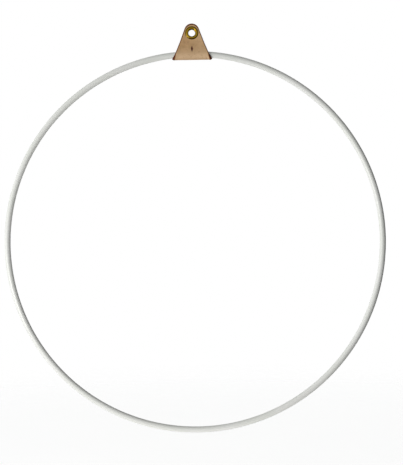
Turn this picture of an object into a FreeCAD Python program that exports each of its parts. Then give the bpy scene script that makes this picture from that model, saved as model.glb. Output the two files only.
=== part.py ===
import FreeCAD, Part
import Sketcher
import os
import math

# Rhythmic gymnastics hoop with a folded leather hanger.
#
# Frame: +Z up, origin at the centre of the eyelet the hoop hangs from, +Y along the eyelet's
# bore to the back, +X along the fold of the hanger. The hoop lies in the XZ plane below the
# origin. All sizes in millimetres.
#
# Pieces:
#   hoop_tube       one plastic tube bent to a ring, with a butt seam at the top
#   joint_plug      rod inside the tube that carries the seam
#   joint_rivets    two rivets, one each side of the seam, heads sunk in the ring's inner side
#   leather_hanger  one strap folded under the tube, both leaves together at the eyelet
#   eyelet          front half of the brass eyelet: domed flange, barrel and rolled rear rim
#   eyelet_washer   rear ring that the barrel is rolled over

DIMENSIONS = [
    # alias, value, meaning
    ("inner_dia", 850.0, "clear diameter of the hoop"),
    ("tube_dia", 14.0, "outside diameter of the tube"),
    ("tube_wall", 3.0, "wall of the tube"),
    ("seam_gap", 0.15, "gap between the two tube ends"),
    ("plug_dia", 7.9, "diameter of the rod inside the tube"),
    ("plug_length", 96.0, "arc length of the rod"),
    ("plug_chamfer", 0.8, "chamfer on the rod's ends"),
    ("rivet_offset", 24.0, "rivet to seam along the tube"),
    ("rivet_shank_dia", 2.6, "rivet shank"),
    ("rivet_head_dia", 4.8, "rivet head"),
    ("rivet_head_depth", 1.1, "depth of the head's seat in the wall"),
    ("rivet_crown_depth", 0.12, "tube's inner side to the middle of the domed head"),
    ("rivet_rim_depth", 0.5, "tube's inner side to the rim of the domed head"),
    ("rivet_crown_rad", 6.5, "radius of the domed head"),
    ("rivet_length", 10.4, "tube's inner side to shank's end"),
    ("rivet_chamfer", 0.3, "chamfer on the shank's end"),
    ("rivet_clear", 0.05, "radial clearance round the rivet"),
    ("hang_drop", 48.7, "eyelet centre down to the tube's centreline at the top"),
    ("leather_thick", 3.0, "thickness of the strap"),
    ("leaf_gap", 0.1, "gap between the two leaves"),
    ("fold_inner_rad", 9.0, "inside radius of the fold round the tube"),
    ("fold_drop", 1.17, "fold axis below the tube's centreline at the top"),
    ("neck_rad", 30.0, "bend radius where the leaves part, at mid thickness"),
    ("neck_drop", 16.5, "eyelet centre down to where the leaves part"),
    ("strap_half_width", 45.2, "half width of the strap at the fold"),
    ("strap_top", 21.7, "top of the strap above the eyelet centre"),
    ("end_rad", 17.2, "radius of the strap's rounded end"),
    ("taper", 0.385, "side slope, width lost per height, one side"),
    ("flare_rad", 24.0, "radius of the outline where the sides turn out to the fold"),
    ("strap_hole_dia", 17.4, "hole in the strap for the barrel"),
    ("eyelet_bore_dia", 15.8, "clear bore of the eyelet"),
    ("eyelet_sheet", 0.6, "thickness of the brass"),
    ("seat_gap", 0.02, "gap between brass and leather, and between roll and washer"),
    ("flange_dia", 30.0, "outside diameter of both brass rings"),
    ("flange_rise", 2.3, "height of the front dome"),
    ("throat_rad", 3.1, "radius of the curve from the dome's crest to the bore"),
    ("dome_rad", 5.16, "radius of the dome outside its crest"),
    ("roll_rad", 1.8, "outside radius of the rolled rear rim"),
    ("washer_hole_dia", 17.2, "hole in the rear ring"),
    ("washer_flat_rad", 11.9, "radius where the rear ring's bead starts"),
    ("washer_bead_rad", 2.1, "radius of the rear ring's bead"),
    ("washer_hollow_inset", 0.35, "start of the bead to start of the hollow under it"),
    ("washer_edge_rise", 0.35, "height of the rear ring's outer edge off its seat"),
    ("washer_edge_inset", 0.4, "outer edge to end of the hollow under the bead"),
]

doc = FreeCAD.newDocument("RhythmicHoop")
sheet = doc.addObject("Spreadsheet::Sheet", "Dims")


class Quantity:
    """A number kept two ways: its value, and the sheet expression that gives it."""

    def __init__(self, value, text):
        self.value = float(value)
        self.text = text

    @staticmethod
    def of(other):
        return other if isinstance(other, Quantity) else Quantity(other, repr(float(other)))

    def __add__(self, other):
        other = Quantity.of(other)
        return Quantity(self.value + other.value, "(%s + %s)" % (self.text, other.text))

    def __sub__(self, other):
        other = Quantity.of(other)
        return Quantity(self.value - other.value, "(%s - %s)" % (self.text, other.text))

    def __mul__(self, other):
        other = Quantity.of(other)
        return Quantity(self.value * other.value, "(%s * %s)" % (self.text, other.text))

    def __truediv__(self, other):
        other = Quantity.of(other)
        return Quantity(self.value / other.value, "(%s / %s)" % (self.text, other.text))

    def __radd__(self, other):
        return Quantity.of(other) + self

    def __rsub__(self, other):
        return Quantity.of(other) - self

    def __rmul__(self, other):
        return Quantity.of(other) * self

    def __neg__(self):
        return Quantity(-self.value, "(0 - %s)" % self.text)


def root(number):
    return Quantity(math.sqrt(number.value), "sqrt(%s)" % number.text)


def sine(angle):
    return Quantity(math.sin(math.radians(angle.value)), "sin(%s)" % angle.text)


def cosine(angle):
    return Quantity(math.cos(math.radians(angle.value)), "cos(%s)" % angle.text)


class Dimensions:
    """Holds each sheet dimension as a Quantity, under its alias."""


dims = Dimensions()
for row, (alias, size, meaning) in enumerate(DIMENSIONS, start=1):
    sheet.set("A%d" % row, meaning)
    sheet.set("B%d" % row, repr(size))
    sheet.setAlias("B%d" % row, alias)
    setattr(dims, alias, Quantity(size, "Dims." + alias))
doc.recompute()

DEGREES = Quantity(180.0 / math.pi, "(180 / pi)")
INNER_RAD = dims.inner_dia / 2
RING_RAD = INNER_RAD + dims.tube_dia / 2  # hoop's axis to the tube's centreline
RING_DROP = dims.hang_drop + RING_RAD  # eyelet centre down to the hoop's axis
RIVET_ANGLE = dims.rivet_offset / RING_RAD * DEGREES
SIDES = (("right", 1), ("left", -1))  # of the seam, with the sign of x

FOLD_Z = -(dims.hang_drop + dims.fold_drop)
INNER_FACE = dims.leaf_gap / 2  # XZ plane to each leaf's inner face
FACE = INNER_FACE + dims.leather_thick  # XZ plane to each leaf's outer face

BORE = dims.eyelet_bore_dia / 2
BRASS = dims.eyelet_sheet
RIM = dims.flange_dia / 2
SEAT = FACE + dims.seat_gap  # XZ plane to the brass on either face

BORE_OVERRUN = 2.0  # rivet hole's start, short of the tube's inner side
MIN_CUT = 1.0  # least volume a cut has to remove

Vector = FreeCAD.Vector
Z_AXIS = Vector(0, 0, 1)


# ---------------------------------------------------------------- sketches
def new_body(name):
    body = doc.addObject("PartDesign::Body", name)
    body.Label = name
    return body


def new_sketch(body, name, role, lift=None):
    """A sketch on the body's origin plane of that role, raised along its normal by lift."""
    planes = [item for item in body.Origin.OriginFeatures if item.Role == role]
    sketch = body.newObject("Sketcher::SketchObject", name)
    sketch.AttachmentSupport = [(planes[0], "")]
    sketch.MapMode = "FlatFace"
    if lift is not None:
        sketch.setExpression(".AttachmentOffset.Base.z", lift.text)
    doc.recompute()
    return sketch


def drive(sketch, kind, args, quantity):
    """Adds a dimension to the sketch, tied to its sheet expression."""
    index = sketch.addConstraint(Sketcher.Constraint(kind, *args, quantity.value))
    sketch.setExpression("Constraints[%d]" % index, quantity.text)


def pin(sketch, geo, point, x, y):
    """Ties a point to its two signed distances from the sketch's origin."""
    for kind, axis, place in (("DistanceX", -2, x), ("DistanceY", -1, y)):
        place = Quantity.of(place)
        if abs(place.value) < 1e-9:
            sketch.addConstraint(Sketcher.Constraint("PointOnObject", geo, point, axis))
        else:
            drive(sketch, kind, (-1, 1, geo, point), place)


def circle(sketch, x, y, radius):
    centre = Vector(Quantity.of(x).value, Quantity.of(y).value, 0)
    geo = sketch.addGeometry(Part.Circle(centre, Z_AXIS, radius.value), False)
    pin(sketch, geo, 3, x, y)
    drive(sketch, "Radius", (geo,), radius)


def add_side(sketch, start, end, bulge):
    """Draws one side of a profile. Returns its geometry, start point and end point numbers."""
    if bulge is None:
        return sketch.addGeometry(Part.LineSegment(start, end), False), 1, 2
    radius, turn = bulge[0].value, bulge[1]
    chord = end - start
    half = chord.Length / 2
    height = math.sqrt(max(radius * radius - half * half, 0.0))
    left = Vector(-chord.y, chord.x, 0).normalize()
    centre = (start + end) * 0.5 + left * (height * turn)
    start_angle = math.atan2(start.y - centre.y, start.x - centre.x)
    end_angle = math.atan2(end.y - centre.y, end.x - centre.x)
    ring = Part.Circle(centre, Z_AXIS, radius)
    if turn > 0:
        return sketch.addGeometry(Part.ArcOfCircle(ring, start_angle, end_angle), False), 1, 2
    return sketch.addGeometry(Part.ArcOfCircle(ring, end_angle, start_angle), False), 2, 1


def closed_profile(sketch, corners):
    """corners: [(x, y, bulge)]. bulge says how the side that starts there runs: None for a
    straight line, or (radius, +1 or -1) for an arc that turns left or right along its way.
    A half turn between two corners at the same x is held by its centre's x, as its radius
    already follows from the corners."""
    points = [Vector(Quantity.of(x).value, Quantity.of(y).value, 0) for x, y, _ in corners]
    next_points = points[1:] + points[:1]
    sides = [
        add_side(sketch, start, end, corner[2])
        for start, end, corner in zip(points, next_points, corners)
    ]
    for (geo, _, end), (next_geo, next_start, _) in zip(sides, sides[1:] + sides[:1]):
        sketch.addConstraint(Sketcher.Constraint("Coincident", geo, end, next_geo, next_start))
    for i, (x, y, bulge) in enumerate(corners):
        geo, start, _ = sides[i]
        pin(sketch, geo, start, x, y)
        if bulge is None:
            continue
        chord = (next_points[i] - points[i]).Length
        if abs(chord - 2 * bulge[0].value) < 1e-6:
            drive(sketch, "DistanceX", (-1, 1, geo, 3), Quantity.of(x))
        else:
            drive(sketch, "Radius", (geo,), bulge[0])


# ---------------------------------------------------------------- features
def revolve(body, sketch, name, axis="H_Axis", angle=None):
    """Turns the sketch a full turn, or through the angle, half of it to each side."""
    feature = body.newObject("PartDesign::Revolution", name)
    feature.Profile = sketch
    feature.ReferenceAxis = (sketch, [axis])
    feature.Angle = 360.0
    feature.Midplane = angle is not None
    if angle is not None:
        feature.setExpression("Angle", angle.text)
    body.Tip = feature
    doc.recompute()
    return feature


def finish_cut(body, feature):
    """Makes the cut the body's tip and makes sure that it took material off."""
    before = body.Shape.Volume
    body.Tip = feature
    doc.recompute()
    if not body.Shape.Volume < before - MIN_CUT:
        raise RuntimeError(feature.Name + " cut nothing")


def pocket_through(body, sketch, name):
    """Cuts the sketch right through the body, both ways."""
    feature = body.newObject("PartDesign::Pocket", name)
    feature.Profile = sketch
    feature.Type = "ThroughAll"
    feature.Midplane = True
    finish_cut(body, feature)


def bore_radial(body, name, side):
    """Cuts the stepped hole of one rivet. The sketch is turned in the ring's plane, so that
    its V axis is the rivet's axis."""
    sketch = new_sketch(body, name, "XZ_Plane")
    sketch.AttachmentOffset = FreeCAD.Placement(
        Vector(0, 0, 0), FreeCAD.Rotation(Vector(0, 0, -side), RIVET_ANGLE.value)
    )
    sketch.setExpression(".AttachmentOffset.Rotation.Angle", RIVET_ANGLE.text)
    doc.recompute()
    head = dims.rivet_head_dia / 2 + dims.rivet_clear
    shank = dims.rivet_shank_dia / 2 + dims.rivet_clear
    start = INNER_RAD - BORE_OVERRUN
    step = INNER_RAD + dims.rivet_head_depth + dims.rivet_clear / 2
    bottom = INNER_RAD + dims.rivet_length + dims.rivet_clear
    closed_profile(
        sketch,
        [
            (0, start, None),
            (0, bottom, None),
            (shank, bottom, None),
            (shank, step, None),
            (head, step, None),
            (head, start, None),
        ],
    )
    feature = body.newObject("PartDesign::Groove", name + "_cut")
    feature.Profile = sketch
    feature.ReferenceAxis = (sketch, ["V_Axis"])
    feature.Angle = 360.0
    finish_cut(body, feature)


def chamfer_ends(body, base, name, radius, size):
    """Chamfers the two full circular end edges of that radius."""
    names = [
        "Edge%d" % i
        for i, edge in enumerate(base.Shape.Edges, start=1)
        if isinstance(edge.Curve, Part.Circle)
        and abs(edge.Curve.Radius - radius.value) < 1e-4
        and abs(edge.Length - 2 * math.pi * radius.value) < 1e-2
    ]
    if len(names) != 2:
        raise RuntimeError("%s: %d end edges" % (name, len(names)))
    feature = body.newObject("PartDesign::Chamfer", name)
    feature.Base = (base, names)
    feature.setExpression("Size", size.text)
    body.Tip = feature
    doc.recompute()


# ---------------------------------------------------------------- hoop and its joint
def finish_ring_body(body, hole_prefix):
    """Bores both rivet holes, then lowers the body from the origin to the hoop's axis."""
    for side_name, side in SIDES:
        bore_radial(body, hole_prefix + side_name, side)
    body.setExpression(".Placement.Base.z", (-RING_DROP).text)
    doc.recompute()


def make_hoop_tube():
    """A ring section at the bottom, turned almost all the way round; the seam is at the top."""
    body = new_body("hoop_tube")
    section = new_sketch(body, "tube_section", "YZ_Plane")
    outer = dims.tube_dia / 2
    circle(section, 0, -RING_RAD, outer)
    circle(section, 0, -RING_RAD, outer - dims.tube_wall)
    revolve(body, section, "tube_ring", angle=360 - dims.seam_gap / RING_RAD * DEGREES)
    finish_ring_body(body, "tube_hole_")
    return body


def make_joint_plug():
    body = new_body("joint_plug")
    section = new_sketch(body, "plug_section", "YZ_Plane")
    radius = dims.plug_dia / 2
    circle(section, 0, RING_RAD, radius)
    rod = revolve(body, section, "plug_rod", angle=dims.plug_length / RING_RAD * DEGREES)
    chamfer_ends(body, rod, "plug_ends", radius, dims.plug_chamfer)
    finish_ring_body(body, "plug_hole_")
    return body


def make_rivet(name, side):
    """A rivet turned about its own Z, which starts at the tube's inner side and runs outwards,
    then set radially in the ring on one side of the seam."""
    body = new_body(name)
    profile = new_sketch(body, name + "_profile", "XZ_Plane")
    head = dims.rivet_head_dia / 2
    shank = dims.rivet_shank_dia / 2
    closed_profile(
        profile,
        [
            (0, dims.rivet_crown_depth, None),
            (0, dims.rivet_length, None),
            (shank - dims.rivet_chamfer, dims.rivet_length, None),
            (shank, dims.rivet_length - dims.rivet_chamfer, None),
            (shank, dims.rivet_head_depth, None),
            (head, dims.rivet_head_depth, None),
            (head, dims.rivet_rim_depth, (dims.rivet_crown_rad, -1)),
        ],
    )
    revolve(body, profile, name + "_turned", "V_Axis")

    angle = side * RIVET_ANGLE
    body.Placement = FreeCAD.Placement(
        Vector(0, 0, 0), FreeCAD.Rotation(Vector(0, 1, 0), angle.value)
    )
    body.setExpression(".Placement.Rotation.Angle", angle.text)
    body.setExpression(".Placement.Base.x", (INNER_RAD * sine(angle)).text)
    body.setExpression(".Placement.Base.z", (INNER_RAD * cosine(angle) - RING_DROP).text)
    doc.recompute()
    return body


def make_joint_rivets():
    rivets = [make_rivet("rivet_" + side_name, side) for side_name, side in SIDES]
    compound = doc.addObject("Part::Compound", "joint_rivets")
    compound.Links = rivets
    compound.Label = "joint_rivets"
    doc.recompute()
    return compound


# ---------------------------------------------------------------- leather hanger
STRIP_END_SPARE = 2.0  # strip left above the strap's top, trimmed by the outline
STRIP_SIDE_SPARE = 1.0  # strip left beside the strap's half width, trimmed likewise
FOOT_SPARE = 5.0  # outline carried on below the fold
TRIM_SIDE, TRIM_TOP, TRIM_FOOT = 6.0, 8.0, 3.0  # trimming frame outside the outline
STRIP_TOP = dims.strap_top + STRIP_END_SPARE


def draw_bend_line(body):
    """The strap's line at mid thickness: down the front leaf, out over the tube, round under
    it, and back up the rear leaf. It touches the fold and both neck circles smoothly."""
    bend = new_sketch(body, "bend_line", "YZ_Plane")
    leaf_mid = INNER_FACE + dims.leather_thick / 2
    fold_rad = dims.fold_inner_rad + dims.leather_thick / 2
    mid, wrap, neck = leaf_mid.value, fold_rad.value, dims.neck_rad.value
    neck_y, neck_z = mid + neck, -dims.neck_drop.value
    fold_z, top_z = FOLD_Z.value, STRIP_TOP.value

    # The straight sides are the inner tangents of the neck circles and the fold's circle.
    rise = neck_z - fold_z
    tilt = math.atan2(rise, neck_y) - math.acos((wrap + neck) / math.hypot(rise, neck_y))
    neck_end_y = neck_y - neck * math.cos(tilt)
    neck_end_z = neck_z - neck * math.sin(tilt)
    wrap_end_y = wrap * math.cos(tilt)
    wrap_end_z = fold_z + wrap * math.sin(tilt)

    def line(start_y, start_z, end_y, end_z):
        segment = Part.LineSegment(Vector(start_y, start_z, 0), Vector(end_y, end_z, 0))
        return bend.addGeometry(segment, False)

    def arc(y, z, radius, start, end):
        ring = Part.Circle(Vector(y, z, 0), Z_AXIS, radius)
        return bend.addGeometry(Part.ArcOfCircle(ring, start, end), False)

    leaf_front = line(-mid, top_z, -mid, neck_z)
    neck_front = arc(-neck_y, neck_z, neck, -tilt, 0.0)
    side_front = line(-neck_end_y, neck_end_z, -wrap_end_y, wrap_end_z)
    under = arc(0, fold_z, wrap, math.pi - tilt, 2 * math.pi + tilt)
    side_rear = line(wrap_end_y, wrap_end_z, neck_end_y, neck_end_z)
    neck_rear = arc(neck_y, neck_z, neck, math.pi, math.pi + tilt)
    leaf_rear = line(mid, neck_z, mid, top_z)

    for joint in (
        (leaf_front, 2, neck_front, 2),
        (neck_front, 1, side_front, 1),
        (side_front, 2, under, 1),
        (under, 2, side_rear, 1),
        (side_rear, 2, neck_rear, 2),
        (neck_rear, 1, leaf_rear, 1),
    ):
        bend.addConstraint(Sketcher.Constraint("Tangent", *joint))
    bend.addConstraint(Sketcher.Constraint("Vertical", leaf_front))
    bend.addConstraint(Sketcher.Constraint("Vertical", leaf_rear))
    bend.addConstraint(Sketcher.Constraint("PointOnObject", under, 3, -2))
    for kind, args, quantity in (
        ("Radius", (under,), fold_rad),
        ("Radius", (neck_front,), dims.neck_rad),
        ("Radius", (neck_rear,), dims.neck_rad),
        ("DistanceY", (-1, 1, under, 3), FOLD_Z),
        ("DistanceX", (-1, 1, leaf_front, 1), -leaf_mid),
        ("DistanceX", (-1, 1, leaf_rear, 2), leaf_mid),
        ("DistanceY", (-1, 1, leaf_front, 1), STRIP_TOP),
        ("DistanceY", (-1, 1, leaf_rear, 2), STRIP_TOP),
        ("DistanceY", (-1, 1, leaf_front, 2), -dims.neck_drop),
        ("DistanceY", (-1, 1, leaf_rear, 1), -dims.neck_drop),
    ):
        drive(bend, kind, args, quantity)
    doc.recompute()
    return bend


def draw_outline(body):
    """The outline from the front: a rounded top, straight tapering sides, and sides that flare
    where the leather turns under the tube. It runs on past the fold, and a frame round it
    makes the pocket cut away all that lies outside."""
    outline = new_sketch(body, "strap_outline", "XZ_Plane")
    slope_length = root(1 + dims.taper * dims.taper)
    tangent_x = dims.end_rad / slope_length
    tangent_z = dims.strap_top - dims.end_rad + dims.end_rad * dims.taper / slope_length
    side_x = tangent_x + dims.taper * (tangent_z - FOLD_Z)
    half_width = dims.strap_half_width
    low_z = FOLD_Z - dims.fold_inner_rad - dims.leather_thick
    foot_z = low_z - FOOT_SPARE
    closed_profile(
        outline,
        [
            (-tangent_x, tangent_z, (dims.end_rad, -1)),
            (tangent_x, tangent_z, None),
            (side_x, FOLD_Z, (dims.flare_rad, 1)),
            (half_width, low_z, None),
            (half_width, foot_z, None),
            (-half_width, foot_z, None),
            (-half_width, low_z, (dims.flare_rad, 1)),
            (-side_x, FOLD_Z, None),
        ],
    )
    frame_x = half_width + TRIM_SIDE
    frame_top = dims.strap_top + TRIM_TOP
    frame_foot = foot_z - TRIM_FOOT
    closed_profile(
        outline,
        [
            (-frame_x, frame_foot, None),
            (frame_x, frame_foot, None),
            (frame_x, frame_top, None),
            (-frame_x, frame_top, None),
        ],
    )
    doc.recompute()
    return outline


def make_leather_hanger():
    """A wide strip swept along the bend line, trimmed to the outline and punched."""
    body = new_body("leather_hanger")
    bend = draw_bend_line(body)

    strip = new_sketch(body, "strap_section", "XY_Plane", STRIP_TOP)
    edge = dims.strap_half_width + STRIP_SIDE_SPARE
    closed_profile(
        strip,
        [
            (-edge, -FACE, None),
            (edge, -FACE, None),
            (edge, -INNER_FACE, None),
            (-edge, -INNER_FACE, None),
        ],
    )
    folded = body.newObject("PartDesign::AdditivePipe", "folded_strip")
    folded.Profile = strip
    folded.Spine = (bend, [])
    folded.Mode = "Standard"
    body.Tip = folded
    doc.recompute()

    pocket_through(body, draw_outline(body), "trimmed_outline")
    punch = new_sketch(body, "strap_hole", "XZ_Plane")
    circle(punch, 0, 0, dims.strap_hole_dia / 2)
    pocket_through(body, punch, "punched_hole")
    return body


# ---------------------------------------------------------------- brass eyelet
# Both rings are turned about Y. In their sections, x runs from front to back and y is the
# distance from the bore's axis.
def make_eyelet():
    crest_rad = BORE + dims.throat_rad
    crest_y = -(FACE + dims.flange_rise)
    throat_y = crest_y + dims.throat_rad
    dome_y = crest_y + dims.dome_rad
    dome_reach = RIM - crest_rad
    rim_y = dome_y - root(dims.dome_rad * dims.dome_rad - dome_reach * dome_reach)
    under_rad = dims.dome_rad - BRASS
    lip_depth = dome_y + SEAT
    lip_rad = crest_rad + root(under_rad * under_rad - lip_depth * lip_depth)
    roll_y = SEAT + BRASS + dims.seat_gap
    barrel_rad = BORE + BRASS
    roll_out = BORE + dims.roll_rad * 2

    body = new_body("eyelet")
    section = new_sketch(body, "eyelet_section", "YZ_Plane")
    closed_profile(
        section,
        [
            (throat_y, BORE, None),
            (roll_y, BORE, (dims.roll_rad, 1)),
            (roll_y, roll_out, None),
            (roll_y, roll_out - BRASS, (dims.roll_rad - BRASS, -1)),
            (roll_y, barrel_rad, None),
            (throat_y, barrel_rad, (dims.throat_rad - BRASS, -1)),
            (crest_y + BRASS, crest_rad, (under_rad, -1)),
            (-SEAT, lip_rad, None),
            (rim_y, RIM, (dims.dome_rad, 1)),
            (crest_y, crest_rad, (dims.throat_rad, 1)),
        ],
    )
    revolve(body, section, "eyelet_turned")
    return body


def make_eyelet_washer():
    body = new_body("eyelet_washer")
    section = new_sketch(body, "washer_section", "YZ_Plane")
    hole_rad = dims.washer_hole_dia / 2
    closed_profile(
        section,
        [
            (SEAT, hole_rad, None),
            (SEAT + BRASS, hole_rad, None),
            (SEAT + BRASS, dims.washer_flat_rad, (dims.washer_bead_rad, 1)),
            (SEAT + dims.washer_edge_rise, RIM, None),
            (SEAT, RIM - dims.washer_edge_inset, (dims.washer_bead_rad - BRASS, -1)),
            (SEAT, dims.washer_flat_rad + dims.washer_hollow_inset, None),
        ],
    )
    revolve(body, section, "washer_turned")
    return body


# ---------------------------------------------------------------- build, check and export
# Each piece with its number of solids.
pieces = [
    (make_hoop_tube(), 1),
    (make_joint_plug(), 1),
    (make_joint_rivets(), 2),
    (make_leather_hanger(), 1),
    (make_eyelet(), 1),
    (make_eyelet_washer(), 1),
]
doc.recompute()

for item in doc.Objects:
    if "Invalid" in item.State or "Error" in item.State:
        raise RuntimeError("%s is %s" % (item.Name, item.State))
for piece, solids in pieces:
    shape = piece.Shape
    if shape.isNull() or not shape.isValid() or shape.Volume <= 0:
        raise RuntimeError("bad shape in " + piece.Label)
    if len(shape.Solids) != solids:
        raise RuntimeError("%s has %d solids" % (piece.Label, len(shape.Solids)))

os.makedirs("parts", exist_ok=True)
for piece, _ in pieces:
    piece.Shape.exportStep("parts/%s.step" % piece.Label)
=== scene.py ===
"""A hoop hung from a leather strap with a brass eyelet.

The hoop stands in the XZ plane, its centre below the origin. The strap is folded round the
hoop's top, and its two leaves meet at the eyelet, whose centre is the origin and whose axis is Y.
Front is -Y, right is +X, up is +Z. Sizes are in millimetres; Blender gets metres.
"""

import math

import bmesh
import bpy
from mathutils import Matrix, Vector, noise

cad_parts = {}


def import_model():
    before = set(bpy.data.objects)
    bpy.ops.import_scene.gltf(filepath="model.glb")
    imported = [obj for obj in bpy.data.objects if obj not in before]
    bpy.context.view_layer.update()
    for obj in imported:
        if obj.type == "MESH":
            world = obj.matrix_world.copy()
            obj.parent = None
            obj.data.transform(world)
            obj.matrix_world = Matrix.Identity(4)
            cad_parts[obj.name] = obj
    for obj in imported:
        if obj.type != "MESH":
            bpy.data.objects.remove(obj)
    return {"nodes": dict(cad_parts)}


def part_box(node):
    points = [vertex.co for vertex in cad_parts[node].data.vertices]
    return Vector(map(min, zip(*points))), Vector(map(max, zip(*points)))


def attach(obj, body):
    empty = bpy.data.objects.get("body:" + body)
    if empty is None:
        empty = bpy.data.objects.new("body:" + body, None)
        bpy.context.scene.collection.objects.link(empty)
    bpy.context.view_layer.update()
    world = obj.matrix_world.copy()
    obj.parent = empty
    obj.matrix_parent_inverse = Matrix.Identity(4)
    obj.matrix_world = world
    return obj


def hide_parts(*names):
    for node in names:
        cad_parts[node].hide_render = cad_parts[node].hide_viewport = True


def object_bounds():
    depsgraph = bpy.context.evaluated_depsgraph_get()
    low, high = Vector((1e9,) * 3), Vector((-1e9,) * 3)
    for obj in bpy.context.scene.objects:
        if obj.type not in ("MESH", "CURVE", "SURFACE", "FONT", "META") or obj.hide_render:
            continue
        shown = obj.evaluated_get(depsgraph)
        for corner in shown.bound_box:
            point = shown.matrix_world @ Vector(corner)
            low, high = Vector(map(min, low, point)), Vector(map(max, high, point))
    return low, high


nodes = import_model()["nodes"]
cad_lo, cad_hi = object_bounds()
MM = 0.001
UV_PER_MM = 0.01

# ---------------------------------------------------------------- sizes taken from the frame
tube_lo, tube_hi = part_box("hoop_tube")
strap_lo, strap_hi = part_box("leather_hanger")
eye_lo, eye_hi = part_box("eyelet")
washer_lo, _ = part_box("eyelet_washer")
TUBE_R = (tube_hi.y - tube_lo.y) / 2 / MM
RING_OUT = (tube_hi.x - tube_lo.x) / 2 / MM
RING_R = round(RING_OUT - TUBE_R, 2)  # to the middle of the tube
RING_Z = round(tube_hi.z / MM - RING_OUT, 2)
FOLD_OUT = strap_hi.y / MM
FOLD_Z = round(strap_lo.z / MM + FOLD_OUT, 2)
STRAP_TOP = strap_hi.z / MM
SHEET = 0.6  # brass sheet of the eyelet and its washer


# ---------------------------------------------------------------- shared helpers
def srgb(red, green, blue):
    """0 to 255 sRGB as linear RGBA."""
    linear = []
    for level in (red / 255.0, green / 255.0, blue / 255.0):
        linear.append(level / 12.92 if level <= 0.04045 else ((level + 0.055) / 1.055) ** 2.4)
    return (*linear, 1.0)


def smooth(span, x):
    """Smooth step from 0 at the span's start to 1 at its end."""
    share = max(0.0, min(1.0, (x - span[0]) / (span[1] - span[0])))
    return share * share * (3 - 2 * share)


def stitch(faces, row, following, closed=False, flip=False):
    """Adds quads between two equal rows of vertices."""
    count = len(row)
    for i in range(count if closed else count - 1):
        j = (i + 1) % count
        quad = (row[i], row[j], following[j], following[i])
        faces.append(tuple(reversed(quad)) if flip else quad)


def make_object(name, verts, faces, uvs, attrs=None):
    """verts and uvs in millimetres, one per vertex. attrs: {name: [one float per vertex]}."""
    mesh = bpy.data.meshes.new(name)
    mesh.from_pydata([(x * MM, y * MM, z * MM) for x, y, z in verts], [], faces)
    mesh.validate()
    mesh.update()
    for key, values in (attrs or {}).items():
        mesh.attributes.new(key, "FLOAT", "POINT").data.foreach_set("value", values)
    layer = mesh.uv_layers.new(name="UVMap")
    for loop in mesh.loops:
        u, v = uvs[loop.vertex_index]
        layer.data[loop.index].uv = (u * UV_PER_MM, v * UV_PER_MM)
    for poly in mesh.polygons:
        poly.use_smooth = True
    obj = bpy.data.objects.new(name, mesh)
    bpy.context.scene.collection.objects.link(obj)
    bm = bmesh.new()
    bm.from_mesh(mesh)
    bmesh.ops.recalc_face_normals(bm, faces=bm.faces)
    bm.to_mesh(mesh)
    bm.free()
    return obj


# ---------------------------------------------------------------- strap: its line from the side
# t runs along the strap from the front hole, down to the fold and up to the back hole.
# From a hole each leaf runs straight down, curves outwards (the neck), runs straight again
# (the side) and then wraps round the fold.
HALF = 3.0 / 2  # half the leather's thickness
LEAF_Y = 0.05 + HALF  # middle of a leaf, with a hair of air between the two
WRAP_R = FOLD_OUT - HALF
NECK_R = 30.0
NECK_T = 16.5
NECK_Y = -(LEAF_Y + NECK_R)  # centre of the front neck's curve
RISE = -NECK_T - FOLD_Z
REACH = math.hypot(RISE, NECK_Y)
LEAN = math.atan2(RISE, -NECK_Y) - math.acos((WRAP_R + NECK_R) / REACH)  # of the side
NECK_RUN = NECK_R * LEAN
SIDE_RUN = math.sqrt(REACH**2 - (WRAP_R + NECK_R) ** 2)
WRAP_RUN = WRAP_R * (math.pi / 2 + LEAN)
T_FOLD = NECK_T + NECK_RUN + SIDE_RUN + WRAP_RUN
T_BACK = 2 * T_FOLD


def to_front(t):
    """The matching place on the front half of the strap."""
    return t if t <= T_FOLD else T_BACK - t


def bend_line(t):
    """Point (y, z) on the strap's mid thickness and its outward normal."""
    if t > T_FOLD:
        y, z, normal_y, normal_z = bend_line(T_BACK - t)
        return -y, z, -normal_y, normal_z
    if t <= NECK_T:
        return -LEAF_Y, -t, -1.0, 0.0
    t -= NECK_T
    if t <= NECK_RUN + SIDE_RUN:
        angle = min(t, NECK_RUN) / NECK_R
        straight = max(t - NECK_RUN, 0.0)
        cos, sin = math.cos(angle), math.sin(angle)
        y = NECK_Y + NECK_R * cos - straight * sin
        return y, -NECK_T - NECK_R * sin - straight * cos, -cos, sin
    angle = math.pi - LEAN + (t - NECK_RUN - SIDE_RUN) / WRAP_R
    cos, sin = math.cos(angle), math.sin(angle)
    return WRAP_R * cos, FOLD_Z + WRAP_R * sin, cos, sin


# ---------------------------------------------------------------- strap: its flat outline
# A round end above the hole, then straight sides that widen towards the fold.
END_R = 17.2
HOLE_R = 8.7
SLOPE = 0.3767  # widening of each side per millimetre of t
NORM = math.sqrt(1 + SLOPE * SLOPE)
END_T = -(STRAP_TOP - END_R)  # centre of the round end
TAN_X = END_R / NORM  # where the round end meets the side
TAN_T = END_T - END_R * SLOPE / NORM
EDGE = 1.25  # rounding of the cut edge on the grain side
FLESH_EDGE = 0.45  # and on the flesh side
CORNER = 2.2  # softens the outline's corner at the fold
EDGE_FAR = 60.0  # cap on the stored distance to the edge


def half_width(t, inset=0.0):
    """Half width of the flat strap below the round end."""
    run = T_FOLD - math.sqrt((to_front(t) - T_FOLD) ** 2 + CORNER**2)
    return TAN_X + SLOPE * (run - TAN_T) - inset * NORM


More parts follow.
